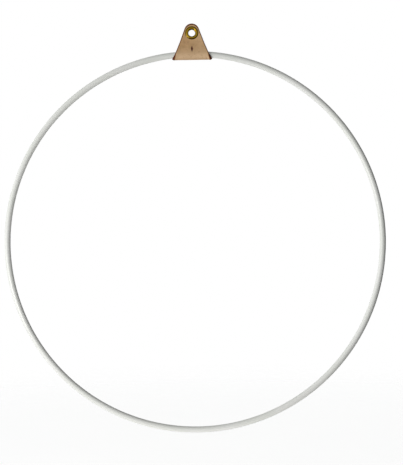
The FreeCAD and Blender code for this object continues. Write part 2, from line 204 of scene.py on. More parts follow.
def edge_normal(x, t):
    """Outward normal (x, t) of the flat outline."""
    front_t = to_front(t)
    if front_t < TAN_T + 0.3:
        down = front_t - END_T
        length = math.hypot(x, down)
        return x / length, (down if t <= T_FOLD else -down) / length
    step = 0.05
    widening = (half_width(t + step) - half_width(t - step)) / (2 * step)
    length = math.sqrt(1 + widening * widening)
    return math.copysign(1 / length, x), -widening / length


def edge_distance(x, t):
    front_t = to_front(t)
    if front_t < TAN_T:
        return END_R - math.hypot(x, front_t - END_T)
    return min((half_width(front_t) - abs(x)) / NORM, EDGE_FAR)


def ray_to_outline(angle, inset):
    """Length of a ray from the hole's centre to the inset outline.

    Angle 0 points along +t (down) and grows towards +x.
    """
    ray_x, ray_t = math.sin(angle), math.cos(angle)
    along = ray_t * END_T
    beyond = END_T * END_T - (END_R - inset) ** 2
    length = along + math.sqrt(max(along * along - beyond, 0.0))
    if ray_t * length <= TAN_T + inset * SLOPE / NORM:
        return length
    inside, outside = 5.0, 80.0
    for _ in range(60):
        middle = (inside + outside) / 2
        if abs(ray_x) * middle > half_width(ray_t * middle, inset):
            outside = middle
        else:
            inside = middle
    return inside


# ---------------------------------------------------------------- strap: its surface
# One plain diamond is pressed into the front leaf.
STAMP_T, STAMP_HALF_W, STAMP_HALF_L = 38.5, 2.7, 8.0
STAMP_DEPTH = 0.40
STAMP_WALL = (-0.62, 0.12)  # from full depth to none, outwards from the diamond's line
STAMP_BURN = (-0.35, 0.35)  # from burnt to plain
SWELL = 0.26  # height of the ring swollen up round the brass
SWELL_UP, SWELL_DOWN = (14.9, 16.2), (17.5, 23.0)  # radii
WAVES_START = (15.5, 19.0)  # radii over which the slow waves set in
SKEW_OUT, SKEW_IN = 2.4, 1.3  # how far the outer face draws in and the inner one spreads
FLARE, CURL = 0.6, 0.4  # how far the corners at the fold go sideways and outwards


def wobble(x, t, scale, seed):
    return noise.noise(Vector((x * scale + seed, t * scale, seed * 1.7)))


def stamp(x, t):
    """How deep the diamond is at this point, and how burnt, both 0 to 1."""
    over = abs(x) / STAMP_HALF_W + abs(t - STAMP_T) / STAMP_HALF_L - 1
    out = over / math.hypot(1 / STAMP_HALF_W, 1 / STAMP_HALF_L)
    return 1 - smooth(STAMP_WALL, out), 1 - smooth(STAMP_BURN, out)


def grain_offset(x, t):
    """Height of the outer face over the nominal surface: stamp, swell and slow waves."""
    radius = math.hypot(x, to_front(t))
    swell = SWELL * smooth(SWELL_UP, radius) * (1 - smooth(SWELL_DOWN, radius))
    waves = 0.10 * wobble(x, t, scale=0.055, seed=3.1)
    waves += 0.035 * wobble(x, t, scale=0.21, seed=9.4)
    waves *= smooth(WAVES_START, radius)
    pressed = stamp(x, t)[0] if t <= T_FOLD else 0.0
    return swell + waves - STAMP_DEPTH * pressed


def near_fold(front_t, start, full):
    """0 to 1 between two distances above the fold."""
    return smooth((T_FOLD - start, T_FOLD - full), front_t)


def strap_point(x, t, depth):
    """A point of the bent strap, depth outwards from mid thickness.

    Round the fold the stretched outer face draws in at the sides and the pressed inner face
    spreads, and the corners flare and curl outwards a little.
    """
    y, z, normal_y, normal_z = bend_line(t)
    front_t = to_front(t)
    reach = abs(x) / half_width(max(front_t, TAN_T))
    if depth > 0:
        skew = SKEW_OUT * near_fold(front_t, start=20.0, full=3.0)
    else:
        skew = SKEW_IN * near_fold(front_t, start=21.0, full=12.0)
    wider = FLARE * near_fold(front_t, start=18.0, full=6.0) - skew * depth / HALF
    wider *= smooth((0.72, 1.0), reach)
    x += wider if x > 0 else -wider
    depth += CURL * near_fold(front_t, start=13.0, full=4.0) * smooth((0.86, 1.0), reach)
    return (x, y + normal_y * depth, z + normal_z * depth)


# ---------------------------------------------------------------- strap: its mesh
# Each leaf is a polar grid round its hole down to NECK_T; a strip of rows joins the leaves.
strap_verts, strap_faces, strap_uvs = [], [], []
strap_attrs = {"edge_mm": [], "ring_mm": [], "wall": [], "grain": [], "burn": []}


def add_point(x, t, depth, edge, wall=0.0, grain=0.0, burn=0.0):
    strap_verts.append(strap_point(x, t, depth))
    values = (edge, math.hypot(x, to_front(t)), wall, grain, burn)
    for column, value in zip(strap_attrs.values(), values):
        column.append(value)
    strap_uvs.append((x, t))
    return len(strap_verts) - 1


def add_both_faces(x, t, burn=0.0):
    edge = edge_distance(x, t)
    outer = add_point(x, t, HALF + grain_offset(x, t), edge, grain=1.0, burn=burn)
    return outer, add_point(x, t, -HALF, edge)


# columns across the strip as shares of its half width, finer in the middle for the stamp
FINE = 0.165
FINE_STEPS = 12
SIDE_STEPS = 20
columns = [FINE * i / FINE_STEPS for i in range(-FINE_STEPS, FINE_STEPS + 1)]
for i in range(1, SIDE_STEPS + 1):
    share = i / SIDE_STEPS
    column = FINE + (1 - FINE) * (share * (1.22 - 0.22 * share))
    columns += [column, -column]
columns = sorted(round(column, 6) for column in columns)

# rays from the hole's centre: one to each column of the strip's first row, then round the end
SIDE_RAYS = 92
neck_half_width = half_width(NECK_T, EDGE)
bottom_rays = [math.atan2(column * neck_half_width, NECK_T) for column in columns]
corner_ray = bottom_rays[-1]
side_rays = [
    corner_ray + (2 * math.pi - 2 * corner_ray) * i / SIDE_RAYS for i in range(1, SIDE_RAYS)
]
rays = bottom_rays + side_rays
ray_ends = [NECK_T / math.cos(ray) for ray in bottom_rays]
ray_ends += [ray_to_outline(ray, EDGE) for ray in side_rays]
BOTTOM = len(bottom_rays)

INNER_RINGS = [0.0, 0.3, 0.6, 0.85, 1.0]  # shares of the way from the hole to INNER_R
INNER_R = 14.2
OUTER_RINGS = 14  # even steps from there to the outline


def build_leaf(front):
    """Polar grid round one hole; returns the outer and inner face as [ring][ray]."""
    outer, inner = [], []
    for k in range(len(INNER_RINGS) + OUTER_RINGS):
        outer_row, inner_row = [], []
        for ray, ray_end in zip(rays, ray_ends):
            if k < len(INNER_RINGS):
                radius = HOLE_R + (INNER_R - HOLE_R) * INNER_RINGS[k]
            else:
                share = (k - len(INNER_RINGS) + 1) / OUTER_RINGS
                radius = INNER_R + (ray_end - INNER_R) * share
            x, t = math.sin(ray) * radius, math.cos(ray) * radius
            pair = add_both_faces(x, t if front else T_BACK - t)
            outer_row.append(pair[0])
            inner_row.append(pair[1])
        outer.append(outer_row)
        inner.append(inner_row)
    return outer, inner


def row_step(t):
    """Spacing of the strip's rows: finest at the stamp, fine round the fold."""
    if t < 19.0:
        return 0.5
    if t < 49.0:
        return 0.38
    return 0.7 if abs(t - T_FOLD) < 21.0 else 1.0


def strip_rows():
    """Places of the rows between the two leaves."""
    last = T_BACK - NECK_T
    rows = []
    t = NECK_T
    while t < last - 1e-6:
        rows.append(t)
        t += row_step(t)
    if last - rows[-1] < 0.3:
        rows.pop()
    return rows[1:]


def edge_profile():
    """Section of the cut edge from grain to flesh side: (outwards, depth)."""
    profile = []
    for i in range(1, 7):
        angle = math.pi / 2 * (1 - i / 6)
        profile.append((EDGE * math.cos(angle), HALF - EDGE + EDGE * math.sin(angle)))
    for depth in (0.1, -0.35, -0.8):
        profile.append((EDGE + 0.05 * (1 - abs(depth)), depth))
    for i in range(4):
        angle = -math.pi / 2 * i / 3
        out = EDGE - FLESH_EDGE + FLESH_EDGE * math.cos(angle)
        profile.append((out, -HALF + FLESH_EDGE + FLESH_EDGE * math.sin(angle)))
    return profile


def outline(strip, back, front):
    """One face's rim: right side, back leaf's end, left side, front leaf's end."""
    right = [row[-1] for row in strip]
    left = [row[0] for row in reversed(strip)]
    return right + back[-1][BOTTOM:] + left + list(reversed(front[-1][BOTTOM:]))


def build_strap():
    front = build_leaf(True)
    back = build_leaf(False)
    for outer, inner in (front, back):
        for k in range(len(outer) - 1):
            stitch(strap_faces, outer[k], outer[k + 1], closed=True)
            stitch(strap_faces, inner[k], inner[k + 1], closed=True, flip=True)
        # wall of the punched hole
        stitch(strap_faces, outer[0], inner[0], closed=True)

    strips = tuple([face[-1][:BOTTOM]] for face in front)
    for t in strip_rows():
        width = half_width(t, EDGE)
        row = []
        for column in columns:
            x = column * width
            row.append(add_both_faces(x, t, stamp(x, t)[1] if t < T_FOLD else 0.0))
        for strip, face_row in zip(strips, zip(*row)):
            strip.append(face_row)
    for strip, face in zip(strips, back):
        strip.append(face[-1][:BOTTOM])
    for k in range(len(strips[0]) - 1):
        stitch(strap_faces, strips[0][k], strips[0][k + 1])
        stitch(strap_faces, strips[1][k], strips[1][k + 1], flip=True)

    # the cut edge, from the outer face's rim to the inner face's
    rim = outline(strips[0], back[0], front[0])
    loops = [rim]
    base = [(*strap_uvs[i], *edge_normal(*strap_uvs[i])) for i in rim]
    for out, depth in edge_profile():
        loop = []
        edge = max(0.0, EDGE - out) if depth > 0 else 0.0
        wall = smooth((0.55, 1.0), out / EDGE)
        grain = 1.0 if depth > -1.2 else 0.0
        for x, t, normal_x, normal_t in base:
            move = out + 0.05 * wobble(x, t, scale=0.5, seed=5.0) * (out / EDGE)
            lifted = depth + grain_offset(x, t) * smooth((0.0, HALF), depth)
            loop.append(
                add_point(x + normal_x * move, t + normal_t * move, lifted, edge, wall, grain)
            )
        loops.append(loop)
    loops.append(outline(strips[1], back[1], front[1]))
    for loop, following in zip(loops[:-1], loops[1:]):
        stitch(strap_faces, loop, following, closed=True)
    return make_object("hanger_leather", strap_verts, strap_faces, strap_uvs, strap_attrs)


# ---------------------------------------------------------------- turned brass
# Profiles are closed lists of (y, radius).
TURN_SEGMENTS = 168
TURN_UV_R = 12.0  # radius that sets the UV length round the axis


def turn(name, profile):
    """A closed profile turned about the eyelet's axis."""
    verts, faces, uvs, rows = [], [], [], []
    run = [0.0]
    for point, before in zip(profile[1:], profile):
        run.append(run[-1] + math.dist(point, before))
    for segment in range(TURN_SEGMENTS):
        angle = 2 * math.pi * segment / TURN_SEGMENTS
        rows.append(range(len(verts), len(verts) + len(profile)))
        for (y, radius), along in zip(profile, run):
            verts.append((radius * math.cos(angle), y, radius * math.sin(angle)))
            uvs.append((angle * TURN_UV_R, along))
    for segment in range(TURN_SEGMENTS):
        stitch(faces, rows[segment], rows[(segment + 1) % TURN_SEGMENTS], closed=True)
    return make_object(name, verts, faces, uvs)


def line(start, end, steps):
    """Points from start towards end, without the end."""
    return [tuple(a + (b - a) * i / steps for a, b in zip(start, end)) for i in range(steps)]


def arc(centre, radius, start, end, steps):
    """Points on an arc, with both ends; angles in degrees from +y towards larger radii."""
    points = []
    for i in range(steps + 1):
        angle = math.radians(start + (end - start) * i / steps)
        points.append(
            (centre[0] + radius * math.cos(angle), centre[1] + radius * math.sin(angle))
        )
    return points


def arc_between(start, end, radius, steps):
    """The short arc between two points, its centre on the left of the way from start to end."""
    chord = math.dist(start, end)
    height = math.sqrt(radius**2 - (chord / 2) ** 2)
    way_y, way_r = (end[0] - start[0]) / chord, (end[1] - start[1]) / chord
    centre_y = (start[0] + end[0]) / 2 - way_r * height
    centre_r = (start[1] + end[1]) / 2 + way_y * height
    angles = [math.degrees(math.atan2(r - centre_r, y - centre_y)) for y, r in (start, end)]
    return arc((centre_y, centre_r), radius, *angles, steps)


BORE_R = 7.9
THROAT = 3.1  # radius of the curve from the bore to the crest
DOME = 5.16  # radius of the curve from the crest to the rim
ROLL = 1.8  # radius of the rolled rear end
LIP_Y = -3.07  # where the underside of the rim ends


def build_eyelet():
    crest_r = BORE_R + THROAT
    throat = (eye_lo.y / MM + THROAT, crest_r)
    dome = (eye_lo.y / MM + DOME, crest_r)
    roll = (eye_hi.y / MM - ROLL, BORE_R + ROLL)
    rim_angle = 180 - math.degrees(math.asin((eye_hi.x / MM - crest_r) / DOME))
    under_r = DOME - SHEET
    under_angle = 180 - math.degrees(math.acos((dome[0] - LIP_Y) / under_r))
    back_r = BORE_R + SHEET

    # bore, roll and its rounded end, then the hidden side of the sheet
    profile = line((throat[0], BORE_R), (roll[0], BORE_R), 8)
    profile += arc(roll, ROLL, -90, 90, 22)
    profile += arc((roll[0], BORE_R + 2 * ROLL - SHEET / 2), SHEET / 2, 90, 270, 6)[2:-1]
    profile += arc(roll, ROLL - SHEET, 90, -90, 16)
    profile += line((roll[0], back_r), (throat[0], back_r), 5)[1:]
    profile += arc(throat, THROAT - SHEET, 270, 180, 14)
    profile += arc(dome, under_r, 180, under_angle, 16)[1:]

    # rounded rim, then the dome and throat
    front_side = arc(dome, DOME, rim_angle, 180, 20)
    outer, inner = front_side[0], profile[-1]
    mid_y, mid_r = (outer[0] + inner[0]) / 2, (outer[1] + inner[1]) / 2
    across = math.atan2(outer[1] - inner[1], outer[0] - inner[0])
    rim_half = math.dist(outer, inner) / 2
    for i in range(1, 8):
        angle = across + math.pi - math.pi * i / 8
        profile.append(
            (mid_y + rim_half * math.cos(angle), mid_r + rim_half * 0.98 * math.sin(angle))
        )
    profile += front_side
    profile += arc(throat, THROAT, 180, 270, 18)[1:-1]
    return turn("eyelet_brass", profile)


WASHER_HOLE_R = 8.6
WASHER_R = 15.0
BEAD_START_R = 11.9
BEAD = 2.1  # radius of the washer's raised outer bead


def build_washer():
    front = washer_lo.y / MM
    rear = front + SHEET
    profile = [(front, 8.75), (front + 0.15, WASHER_HOLE_R), (rear - 0.12, WASHER_HOLE_R)]
    profile += line((rear, 8.72), (rear, BEAD_START_R), 6)
    profile += arc_between((rear, BEAD_START_R), (front + 0.35, WASHER_R), BEAD, 18)
    profile += [(front + 0.16, WASHER_R - 0.04), (front + 0.04, 14.86)]
    # hollow under the bead, from its outer side inwards
    profile += reversed(arc_between((front, 12.25), (front, 14.6), BEAD - SHEET, 12))
    profile += line((front, 12.25), (front, 8.75), 5)[1:]
    return turn("eyelet_rear_ring", profile)


# ---------------------------------------------------------------- hoop tube
# The tube is open at the hoop's top, where its two ends meet with a hair between them.
RING_STEPS, OUTER_SIDES, INNER_SIDES = 960, 44, 22
HALF_GAP = 0.075
WALL = 3.0
SKIN = 0.06  # how far the outside lies within TUBE_R
# distance from the tube's end, how much the radius shrinks there
END_STATIONS = [(0.0, 0.35), (0.07, 0.18), (0.16, 0.07), (0.35, 0.0), (1.2, 0.0)]
SEAT_ALONG = 24.0  # rivet seats, from the top along the hoop, one each way
# radius, start and end measured outwards from the tube's side nearest the hoop's centre
SEAT_DRILLS = ((2.45, -2.0, 1.125), (1.35, 0.5, 10.45))


def outer_radius(angle, phi, shrink):
    """A drawn tube is never perfectly even: slow waves of a few hundredths."""
    waves = 0.035 * math.sin(angle * 17 + 1.3) * math.sin(phi * 2 + 0.7)
    waves += 0.02 * math.sin(angle * 41 + phi)
    waves *= smooth((0.0, 0.02), min(angle, 2 * math.pi - angle))
    return TUBE_R - SKIN - shrink + waves


def build_tube():
    """angle runs round the hoop from the top, phi round the tube."""
    ends = [((HALF_GAP + along) / RING_R, shrink) for along, shrink in END_STATIONS]
    stations = ends + [(2 * math.pi * k / RING_STEPS, 0.0) for k in range(1, RING_STEPS)]
    stations += [(2 * math.pi - angle, shrink) for angle, shrink in reversed(ends)]
    verts, faces, uvs = [], [], []
    outer_rows, inner_rows = [], []
    for rows, sides, nominal in (
        (outer_rows, OUTER_SIDES, TUBE_R),
        (inner_rows, INNER_SIDES, TUBE_R - WALL),
    ):
        for angle, shrink in stations:
            rows.append(range(len(verts), len(verts) + sides))
            for j in range(sides):
                phi = 2 * math.pi * j / sides
                radius = outer_radius(angle, phi, shrink) if rows is outer_rows else nominal
                out = RING_R + radius * math.cos(phi)
                z = RING_Z + out * math.cos(angle)
                verts.append((out * math.sin(angle), radius * math.sin(phi), z))
                uvs.append((angle * RING_R, phi * nominal))
        for row, following in zip(rows, rows[1:]):
            stitch(faces, row, following, closed=True)
    # end faces: two outer sides to each inner one
    for end in (0, -1):
        outer, inner = outer_rows[end], inner_rows[end]
        for j in range(INNER_SIDES):
            middle = outer[2 * j + 1]
            faces.append((outer[2 * j], middle, inner[j]))
            following = outer[(2 * j + 2) % OUTER_SIDES]
            faces.append((middle, following, inner[(j + 1) % INNER_SIDES], inner[j]))
    return make_object("hoop_tube_shell", verts, faces, uvs)


def seat_cutter(angle, radius, start, end):
    bm = bmesh.new()
    bmesh.ops.create_cone(
        bm,
        cap_ends=True,
        segments=40,
        radius1=radius * MM,
        radius2=radius * MM,
        depth=(end - start) * MM,
    )
    middle = RING_R - TUBE_R + (start + end) / 2
    to_place = Matrix.Translation((0, 0, RING_Z * MM)) @ Matrix.Rotation(angle, 4, "Y")
    bm.transform(to_place @ Matrix.Translation((0, 0, middle * MM)))
    mesh = bpy.data.meshes.new("cutter")
    bm.to_mesh(mesh)
    bm.free()
    cutter = bpy.data.objects.new("cutter", mesh)
    bpy.context.scene.collection.objects.link(cutter)
    return cutter


def cut_seats(obj):
    """Opens the two stepped rivet seats in the tube's inner side."""
    cutters = []
    for side in (1, -1):
        for drill in SEAT_DRILLS:
            cutters.append(seat_cutter(side * SEAT_ALONG / RING_R, *drill))
    for cutter in cutters:
        mod = obj.modifiers.new("seat", "BOOLEAN")
        mod.operation = "DIFFERENCE"
        mod.solver = "EXACT"
        mod.object = cutter
    depsgraph = bpy.context.evaluated_depsgraph_get()
    done = bpy.data.meshes.new_from_object(obj.evaluated_get(depsgraph))
    obj.modifiers.clear()
    old = obj.data
    obj.data = done
    bpy.data.meshes.remove(old)
    for cutter in cutters:
        bpy.data.objects.remove(cutter)
    bm = bmesh.new()
    bm.from_mesh(done)
    bmesh.ops.dissolve_degenerate(bm, dist=1e-7, edges=bm.edges)
    bm.to_mesh(done)
    bm.free()
    for poly in done.polygons:
        poly.use_smooth = True


strap = build_strap()
eyelet = build_eyelet()
washer = build_washer()
tube = build_tube()
cut_seats(tube)


# ---------------------------------------------------------------- shader helper
class Nodes:
    """A short way to write the node tree of a material or world."""

    def __init__(self, owner, output="ShaderNodeOutputMaterial"):
        self.owner = owner
        owner.use_nodes = True
        self.tree = owner.node_tree
        self.tree.nodes.clear()
        self.out = self.tree.nodes.new(output)

    def put(self, socket, value):
        if isinstance(value, bpy.types.NodeSocket):
            self.tree.links.new(value, socket)
        else:
            socket.default_value = value

    def node(self, kind, **inputs):
        made = self.tree.nodes.new(kind)
        for key, value in inputs.items():
            self.put(made.inputs[key.replace("_", " ")], value)
        return made

    def math(self, operation, *values, clamp=False):
        made = self.tree.nodes.new("ShaderNodeMath")
        made.operation = operation
        made.use_clamp = clamp
        for i, value in enumerate(values):
            self.put(made.inputs[i], value)
        return made.outputs[0]

    def times(self, value, by):
        return self.math("MULTIPLY", value, by)

    def scaled(self, value, by, plus):
        return self.math("MULTIPLY_ADD", value, by, plus)

    def ramp(self, value, over, to=(0.0, 1.0), kind="SMOOTHSTEP"):
        """Maps the span over to the span to, and holds the end values outside it."""
        made = self.node("ShaderNodeMapRange", Value=value)
        made.interpolation_type = kind
        spans = zip(("From Min", "From Max", "To Min", "To Max"), (*over, *to))
        for key, limit in spans:
            made.inputs[key].default_value = limit
        return made.outputs["Result"]

    def mix(self, factor, base, other, mode="MIX"):
        made = self.tree.nodes.new("ShaderNodeMix")
        made.data_type = "RGBA"
        made.blend_type = mode
        # inputs 6 and 7 and output 2 are the colour ones
        for i, value in ((0, factor), (6, base), (7, other)):
            self.put(made.inputs[i], value)
        return made.outputs[2]

    def mix_shaders(self, factor, first, second):
        made = self.tree.nodes.new("ShaderNodeMixShader")
        for i, value in enumerate((factor, first.outputs[0], second.outputs[0])):
            self.put(made.inputs[i], value)
        return made.outputs[0]

    def coords(self, scale=(1000, 1000, 1000), source="Object"):
        """Scaled coordinates; object ones come in millimetres unless told otherwise."""
        texture = self.tree.nodes.new("ShaderNodeTexCoord")
        return self.mapped(texture.outputs[source], scale)

    def mapped(self, vector, scale):
        return self.node("ShaderNodeMapping", Vector=vector, Scale=scale).outputs["Vector"]

    def split(self, vector):
        return self.node("ShaderNodeSeparateXYZ", Vector=vector).outputs

    def noise(self, vector, scale, detail=3.0, rough=0.5, distortion=0.0):
        return self.node(
            "ShaderNodeTexNoise",
            Vector=vector,
            Scale=scale,
            Detail=detail,
            Roughness=rough,
            Distortion=distortion,
        ).outputs["Fac"]

    def cells(self, vector, scale):
        return self.node("ShaderNodeTexVoronoi", Vector=vector, Scale=scale).outputs["Distance"]

    def attr(self, name):
        made = self.tree.nodes.new("ShaderNodeAttribute")
        made.attribute_name = name
        return made.outputs["Fac"]

    def bump(self, height, distance, strength=1.0, normal=None):
        made = self.node(
            "ShaderNodeBump", Distance=distance, Strength=strength, Height=height
        )
        if normal is not None:
            self.put(made.inputs["Normal"], normal)
        return made.outputs["Normal"]

    def finish(self, **inputs):
        surface = self.node("ShaderNodeBsdfPrincipled", **inputs)
        self.put(self.out.inputs["Surface"], surface.outputs[0])
        return self.owner


def new_material(name):
    return Nodes(bpy.data.materials.new(name))


# ---------------------------------------------------------------- materials
def leather_material():
    mat = new_material("veg_tan_leather")
    point = mat.coords()
    edge, ring, wall = mat.attr("edge_mm"), mat.attr("ring_mm"), mat.attr("wall")
    grain, burn = mat.attr("grain"), mat.attr("burn")
    cloud = mat.noise(point, scale=0.035, detail=3.0, rough=0.55)
    mottle = mat.noise(point, scale=0.16, detail=4.0, rough=0.6, distortion=0.4)
    pores = mat.cells(point, scale=1.15)
    fine = mat.noise(point, scale=2.2, detail=3.0, rough=0.6)
    wrinkle = mat.noise(point, scale=0.6, detail=5.0, rough=0.65, distortion=0.6)
    axes = mat.split(point)
    x, z = axes["X"], axes["Z"]

    # cloudy tan, paler to the right; painted light lower down, taken back off along the fold's
    # lowest strip; darker at the upper left
    low = mat.ramp(z, over=(-28.0, -60.0))
    tan = mat.mix(mat.ramp(cloud, over=(0.38, 0.62)), srgb(191, 151, 104), srgb(208, 167, 120))
    tan = mat.mix(mat.ramp(x, over=(-14.0, 22.0), to=(0.0, 0.60)), tan, srgb(211, 174, 130))
    # painted light: the lower part of the strap paler
    tan = mat.mix(mat.times(low, by=0.66), tan, srgb(217, 185, 147))
    # less of the painted light along the fold's lowest strip
    tan = mat.mix(mat.ramp(z, over=(-57.0, -60.5), to=(0.0, 0.6)), tan, srgb(192, 155, 114))
    shade = mat.times(mat.ramp(z, over=(-29.0, -19.0)), by=mat.ramp(x, over=(2.0, -10.0)))
    tan = mat.mix(mat.times(shade, by=0.55), tan, srgb(174, 134, 90))
    # mottling, pale spots and pores
    tan = mat.mix(mat.ramp(mottle, over=(0.50, 0.72), to=(0.0, 0.34)), tan, srgb(150, 112, 76))
    spots = mat.noise(point, scale=0.4, detail=2.0)
    tan = mat.mix(mat.ramp(spots, over=(0.55, 0.75), to=(0.0, 0.20)), tan, srgb(192, 160, 122))
    tan = mat.mix(mat.ramp(pores, over=(0.30, 0.05), to=(0.0, 0.26)), tan, srgb(128, 90, 58))
    # pale line just inside the cut edges
    inside = mat.times(mat.ramp(edge, over=(2.4, 3.2)), by=mat.ramp(edge, over=(5.6, 3.9)))
    tan = mat.mix(mat.times(inside, by=0.42), tan, srgb(206, 166, 112))
    # painted highlight on the ring pressed up round the brass
    painted_swell_highlight = mat.times(mat.ramp(ring, over=(14.8, 15.4)), by=mat.ramp(ring, over=(18.2, 16.0)))
    tan = mat.mix(mat.times(painted_swell_highlight, by=0.68), tan, srgb(206, 171, 116))
    # painted shadow: a dark line within the pale ring, where the brass rim sits on the leather
    painted_rim_shadow = mat.times(mat.ramp(ring, over=(13.9, 14.6)), by=mat.ramp(ring, over=(15.6, 15.1)))
    tan = mat.mix(mat.times(painted_rim_shadow, by=0.7), tan, srgb(96, 62, 34))
    # burnished edge: brown where it rounds over, wider at the top, nearly black on the cut
    uneven = mat.scaled(mat.noise(point, scale=0.35, detail=3.0), by=0.9, plus=-0.45)
    worn = mat.math("ADD", edge, uneven)
    worn = mat.scaled(mat.ramp(z, over=(6.0, 18.0)), by=-1.5, plus=worn)
    rim = mat.ramp(worn, over=(2.8, 1.5))
    tan = mat.mix(mat.times(rim, by=0.96), tan, srgb(104, 52, 18))
    streaks = mat.ramp(mat.noise(point, scale=1.4, detail=4.0), over=(0.4, 0.65))
    cut = mat.mix(streaks, srgb(60, 20, 14), srgb(88, 38, 20))
    tan = mat.mix(mat.ramp(wall, over=(0.25, 0.95)), tan, cut)
    # the burnt stamp, and the flesh side
    tan = mat.mix(mat.times(burn, by=0.95), tan, srgb(84, 28, 12))
    fibres = mat.noise(point, scale=0.9, detail=5.0, rough=0.7)
    flesh = mat.mix(fibres, srgb(150, 112, 78), srgb(196, 160, 122))
    color = mat.mix(mat.ramp(grain, over=(0.2, 0.8)), flesh, tan)

    # smoother on the cut, rougher in the stamp and on the flesh side
    rough = mat.ramp(mottle, over=(0.3, 0.75), to=(0.40, 0.56), kind="LINEAR")
    rough = mat.math("ADD", rough, mat.times(wall, by=-0.08))
    rough = mat.math("ADD", rough, mat.times(burn, by=0.15))
    flesh_rough = mat.ramp(grain, over=(0.8, 0.2), to=(0.0, 0.3))
    rough = mat.math("ADD", rough, flesh_rough, clamp=True)
    normal = mat.bump(wrinkle, distance=0.00022, strength=0.55)
    pits = mat.ramp(pores, over=(0.0, 0.45))
    normal = mat.bump(pits, distance=0.00010, strength=0.75, normal=normal)
    normal = mat.bump(fine, distance=0.00006, strength=0.6, normal=normal)
    return mat.finish(
        Base_Color=color,
        Roughness=rough,
        Normal=normal,
        Specular_IOR_Level=mat.scaled(mat.math("MAXIMUM", wall, rim), by=-0.38, plus=0.42),
        Sheen_Weight=0.05,
        Sheen_Roughness=0.5,
        Coat_Weight=0.03,
        Coat_Roughness=0.35,
    )


def brass_material(name, dark, light, grime_and_dark_reflection, bore):
    mat = new_material(name)
    point = mat.coords()
    patch = mat.noise(point, scale=0.22, detail=4.0, rough=0.6, distortion=0.3)
    grime = mat.noise(point, scale=1.1, detail=4.0, rough=0.65)
    speck = mat.cells(point, scale=1.9)
    # spun lines run round the bore
    axes = mat.split(point)
    x_squared = mat.times(axes["X"], by=axes["X"])
    z_squared = mat.times(axes["Z"], by=axes["Z"])
    radius = mat.math("SQRT", mat.math("ADD", x_squared, z_squared))
    spun = mat.node(
        "ShaderNodeCombineXYZ", X=mat.times(radius, by=7.0), Y=mat.times(axes["Y"], by=5.0)
    )
    lines = mat.noise(spun.outputs[0], scale=1.0, detail=3.0, rough=0.6)
    # outer slope of the rim: a dark reflection is painted there, and it is rougher
    outer = mat.ramp(radius, over=(12.2, 13.9))
    # patchy brass, its own tone in the bore, a painted dark reflection on the outer slope, grime
    # in patches and specks
    color = mat.mix(mat.ramp(patch, over=(0.35, 0.68)), dark, light)
    color = mat.mix(mat.ramp(radius, over=(10.6, 8.6), to=(0.0, 0.8)), color, bore)
    color = mat.mix(mat.times(outer, by=0.72), color, grime_and_dark_reflection)
    color = mat.mix(mat.ramp(grime, over=(0.56, 0.78), to=(0.0, 0.5)), color, grime_and_dark_reflection)
    color = mat.mix(mat.ramp(speck, over=(0.12, 0.03), to=(0.0, 0.35)), color, grime_and_dark_reflection)
    # painted dark reflection, darkest along the lowest part of the rim
    low = mat.ramp(axes["Z"], over=(-9.6, -12.4))
    painted_low_reflection = mat.times(low, by=mat.ramp(radius, over=(11.4, 12.8)))
    color = mat.mix(mat.times(painted_low_reflection, by=0.75), color, srgb(84, 48, 16))
    rough = mat.ramp(grime, over=(0.3, 0.75), to=(0.20, 0.40), kind="LINEAR")
    normal = mat.bump(lines, distance=0.00003, strength=0.55)
    return mat.finish(
        Base_Color=color,
        Metallic=1.0,
        Roughness=mat.scaled(outer, by=0.16, plus=rough),
        Normal=mat.bump(grime, distance=0.00004, strength=0.35, normal=normal),
        Specular_Tint=(0.9, 0.72, 0.25, 1.0),
        Coat_Weight=0.10,
        Coat_Roughness=0.12,
    )


def hoop_material():
    mat = new_material("hoop_off_white_plastic")
    flat = mat.coords(scale=(100, 100, 1), source="UV")
    point = mat.coords()
    # drawing lines stretched along the tube
    lengthwise = mat.mapped(flat, scale=(0.02, 2.4, 1))
    draw = mat.noise(lengthwise, scale=1.0, detail=4.0, rough=0.6)
    tone = mat.noise(point, scale=0.010, detail=2.0)
    peel = mat.noise(point, scale=0.75, detail=2.0)
    dust = mat.noise(point, scale=0.9, detail=5.0, rough=0.7, distortion=0.8)
    color = mat.mix(mat.ramp(tone, over=(0.35, 0.65)), srgb(231, 231, 227), srgb(227, 228, 222))
    drawn = mat.ramp(draw, over=(0.35, 0.75), to=(0.0, 0.16))
    color = mat.mix(drawn, color, srgb(217, 218, 212))
    dusty = mat.ramp(dust, over=(0.62, 0.82), to=(0.0, 0.30))
    color = mat.mix(dusty, color, srgb(196, 193, 180))
    rough = mat.ramp(dust, over=(0.3, 0.8), to=(0.27, 0.46), kind="LINEAR")
    normal = mat.bump(draw, distance=0.00006, strength=0.25)
    return mat.finish(
        Base_Color=color,
        Roughness=rough,
        Normal=mat.bump(peel, distance=0.00008, strength=0.15, normal=normal),
        Specular_IOR_Level=0.5,
    )


def plug_material():
    mat = new_material("plug_dark_plastic")
    grain = mat.noise(mat.coords(), scale=1.8, detail=4.0, rough=0.6)
    return mat.finish(
        Base_Color=mat.mix(grain, srgb(48, 48, 50), srgb(70, 70, 72)),
        Roughness=mat.ramp(grain, over=(0.3, 0.8), to=(0.5, 0.7), kind="LINEAR"),
        Normal=mat.bump(grain, distance=0.00008, strength=0.5),
    )


def rivet_material():
    mat = new_material("rivet_zinc_steel")
    point = mat.coords()
    crystal = mat.ramp(mat.cells(point, scale=1.6), over=(0.1, 0.7))
    fine = mat.noise(point, scale=3.0, detail=3.0, rough=0.6)
    return mat.finish(
        Base_Color=mat.mix(crystal, srgb(176, 178, 180), srgb(205, 206, 206)),
        Metallic=1.0,
        Roughness=mat.ramp(fine, over=(0.3, 0.75), to=(0.28, 0.45), kind="LINEAR"),
        Normal=mat.bump(fine, distance=0.00003, strength=0.5),
    )


def dress(obj, material):
    obj.data.materials.clear()
    obj.data.materials.append(material)


